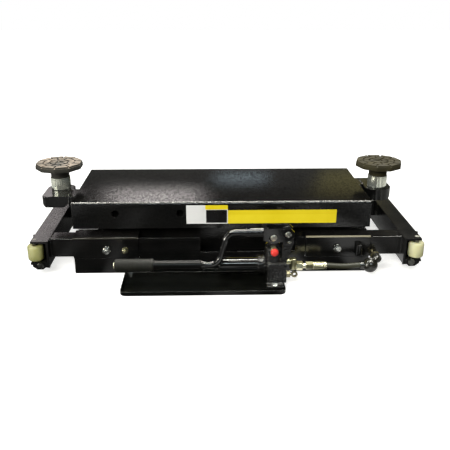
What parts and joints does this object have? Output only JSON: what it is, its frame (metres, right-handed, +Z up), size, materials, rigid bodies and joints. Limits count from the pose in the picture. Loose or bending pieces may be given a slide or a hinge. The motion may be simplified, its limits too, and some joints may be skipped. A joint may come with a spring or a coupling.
{
  "type": "rolling bridge jack",
  "caption": "Low scissor-lift jack that rolls between a vehicle lift's runways, with sliding lifting arms, round pads, telescopic end rails and a hand pump.",
  "frame": {"origin": "centre of the underside of the frame's centre tie, on the floor", "axes": "+X towards the right end rail, +Y away from the pump side, +Z up"},
  "size_m": [0.9375, 0.4676, 0.2305],
  "materials": {
    "black_paint": "gloss powder coat with a fine orange peel",
    "zinc_steel": "bright zinc plate",
    "yellow_zinc": "yellow zinc plate",
    "bare_steel": "ground steel",
    "chrome_rod": "hard chrome",
    "cream_nylon": "satin",
    "pad_rubber": "moulded, matt",
    "grip_rubber": "matt",
    "hose_rubber": "satin",
    "red_plastic": "satin"
  },
  "bodies": {
    "base": {"side_plates": "black_paint", "side_tracks": "black_paint", "tube_sleeves": "black_paint", "cross_ties": "black_paint", "base_pivot_shaft": "zinc_steel", "clamp_bolts": "zinc_steel", "pump_tray": "black_paint", "pump_body": "black_paint", "reservoir": "black_paint", "plunger_gland": "black_paint", "relief_valve": "yellow_zinc", "relief_cap": "red_plastic", "fulcrum_pins": "zinc_steel", "pump_bolts": "zinc_steel", "hose_fittings": "zinc_steel", "hydraulic_hose": "hose_rubber", "swivel_elbow": "black_paint", "pressure_line": "yellow_zinc", "cylinder_barrel": "black_paint", "cylinder_gland": "bare_steel"},
    "outer_frame": {"outer_legs": "black_paint", "outer_cross_tube": "black_paint", "leg_pins": "zinc_steel"},
    "top_rollers": {"top_rollers": "bare_steel"},
    "inner_frame": {"inner_legs": "black_paint", "inner_cross_tube": "black_paint", "rod_shaft": "zinc_steel"},
    "base_rollers": {"base_rollers": "bare_steel"},
    "rod": {"cylinder_rod": "chrome_rod"},
    "platform": {"cover": "black_paint", "top_tracks": "black_paint", "arm_guide": "black_paint", "top_pivot_pins": "zinc_steel"},
    "left_arm": {"left_arm": "black_paint", "left_arm_head": "black_paint"},
    "right_arm": {"right_arm": "black_paint", "right_arm_head": "black_paint"},
    "left_adapter": {"left_post": "zinc_steel", "left_pad": "pad_rubber"},
    "right_adapter": {"right_post": "zinc_steel", "right_pad": "pad_rubber"},
    "left_end": {"left_rail": "black_paint", "left_tubes": "black_paint", "left_axles": "zinc_steel"},
    "right_end": {"right_rail": "black_paint", "right_tubes": "black_paint", "right_axles": "zinc_steel"},
    "left_guide_front": {"left_guide_front": "cream_nylon"},
    "left_guide_rear": {"left_guide_rear": "cream_nylon"},
    "right_guide_front": {"right_guide_front": "cream_nylon"},
    "right_guide_rear": {"right_guide_rear": "cream_nylon"},
    "left_wheel_front": {"left_wheel_front": "bare_steel"},
    "left_wheel_rear": {"left_wheel_rear": "bare_steel"},
    "right_wheel_front": {"right_wheel_front": "bare_steel"},
    "right_wheel_rear": {"right_wheel_rear": "bare_steel"},
    "lever": {"pump_lever": "black_paint", "pump_handle": "black_paint", "handle_grip": "grip_rubber"},
    "plunger": {"pump_plunger": "chrome_rod"},
    "knob": {"release_knob": "yellow_zinc"}
  },
  "joints": [
    {"name": "lift", "type": "hinge", "parent": "base", "child": "outer_frame", "pos_m": [0.27, 0, 0.055], "axis": [0, 1, 0], "range_deg": [0, 36]},
    {"name": "inner_fold", "type": "hinge", "parent": "outer_frame", "child": "inner_frame", "pos_m": [0.0102, 0, 0.099], "axis": [0, 1, 0], "range_deg": [-72, 0]},
    {"name": "platform_level", "type": "hinge", "parent": "inner_frame", "child": "platform", "pos_m": [0.27, 0, 0.143], "axis": [0, 1, 0], "range_deg": [0, 36]},
    {"name": "rod_level", "type": "hinge", "parent": "inner_frame", "child": "rod", "pos_m": [-0.2496, 0, 0.055], "axis": [0, 1, 0], "range_deg": [0, 36]},
    {"name": "top_roller_spin", "type": "hinge", "parent": "outer_frame", "child": "top_rollers", "pos_m": [-0.2496, 0, 0.143], "axis": [0, 1, 0], "continuous": true},
    {"name": "base_roller_spin", "type": "hinge", "parent": "inner_frame", "child": "base_rollers", "pos_m": [-0.2496, 0, 0.055], "axis": [0, 1, 0], "continuous": true},
    {"name": "left_arm_slide", "type": "slide", "parent": "platform", "child": "left_arm", "axis": [-1, 0, 0], "range_m": [-0.0045, 0.18]},
    {"name": "right_arm_slide", "type": "slide", "parent": "platform", "child": "right_arm", "axis": [1, 0, 0], "range_m": [0, 0.1845]},
    {"name": "left_adapter_spin", "type": "hinge", "parent": "left_arm", "child": "left_adapter", "pos_m": [-0.402, 0, 0.1632], "axis": [0, 0, 1], "continuous": true},
    {"name": "right_adapter_spin", "type": "hinge", "parent": "right_arm", "child": "right_adapter", "pos_m": [0.3975, 0, 0.1632], "axis": [0, 0, 1], "continuous": true},
    {"name": "left_end_slide", "type": "slide", "parent": "base", "child": "left_end", "axis": [-1, 0, 0], "range_m": [-0.026, 0.08]},
    {"name": "right_end_slide", "type": "slide", "parent": "base", "child": "right_end", "axis": [1, 0, 0], "range_m": [-0.049, 0.057]},
    {"name": "left_guide_front_spin", "type": "hinge", "parent": "left_end", "child": "left_guide_front", "pos_m": [-0.4365, -0.164, 0.06], "axis": [0, 0, 1], "continuous": true},
    {"name": "left_guide_rear_spin", "type": "hinge", "parent": "left_end", "child": "left_guide_rear", "pos_m": [-0.4365, 0.164, 0.06], "axis": [0, 0, 1], "continuous": true},
    {"name": "right_guide_front_spin", "type": "hinge", "parent": "right_end", "child": "right_guide_front", "pos_m": [0.4595, -0.164, 0.06], "axis": [0, 0, 1], "continuous": true},
    {"name": "right_guide_rear_spin", "type": "hinge", "parent": "right_end", "child": "right_guide_rear", "pos_m": [0.4595, 0.164, 0.06], "axis": [0, 0, 1], "continuous": true},
    {"name": "left_wheel_front_spin", "type": "hinge", "parent": "left_end", "child": "left_wheel_front", "pos_m": [-0.42, -0.08, 0.06], "axis": [1, 0, 0], "continuous": true},
    {"name": "left_wheel_rear_spin", "type": "hinge", "parent": "left_end", "child": "left_wheel_rear", "pos_m": [-0.42, 0.08, 0.06], "axis": [1, 0, 0], "continuous": true},
    {"name": "right_wheel_front_spin", "type": "hinge", "parent": "right_end", "child": "right_wheel_front", "pos_m": [0.443, -0.08, 0.06], "axis": [1, 0, 0], "continuous": true},
    {"name": "right_wheel_rear_spin", "type": "hinge", "parent": "right_end", "child": "right_wheel_rear", "pos_m": [0.443, 0.08, 0.06], "axis": [1, 0, 0], "continuous": true},
    {"name": "pump_lever", "type": "hinge", "parent": "base", "child": "lever", "pos_m": [0.143, -0.2326, 0.1305], "axis": [0, 1, 0], "range_deg": [0, 45]},
    {"name": "plunger_slide", "type": "slide", "parent": "base", "child": "plunger", "axis": [0, 0, 1], "range_m": [0, 0.028]},
    {"name": "release_turn", "type": "hinge", "parent": "base", "child": "knob", "pos_m": [0.151, -0.2386, 0.03], "axis": [1, 0, 0], "range_deg": [0, 270]}
  ],
  "couplings": [
    {"joint": "inner_fold", "follows": "lift", "ratio": -2},
    {"joint": "platform_level", "follows": "lift", "ratio": 1},
    {"joint": "rod_level", "follows": "lift", "ratio": 1},
    {"joint": "plunger_slide", "follows": "pump_lever", "m_per_rad": 0.035}
  ]
}
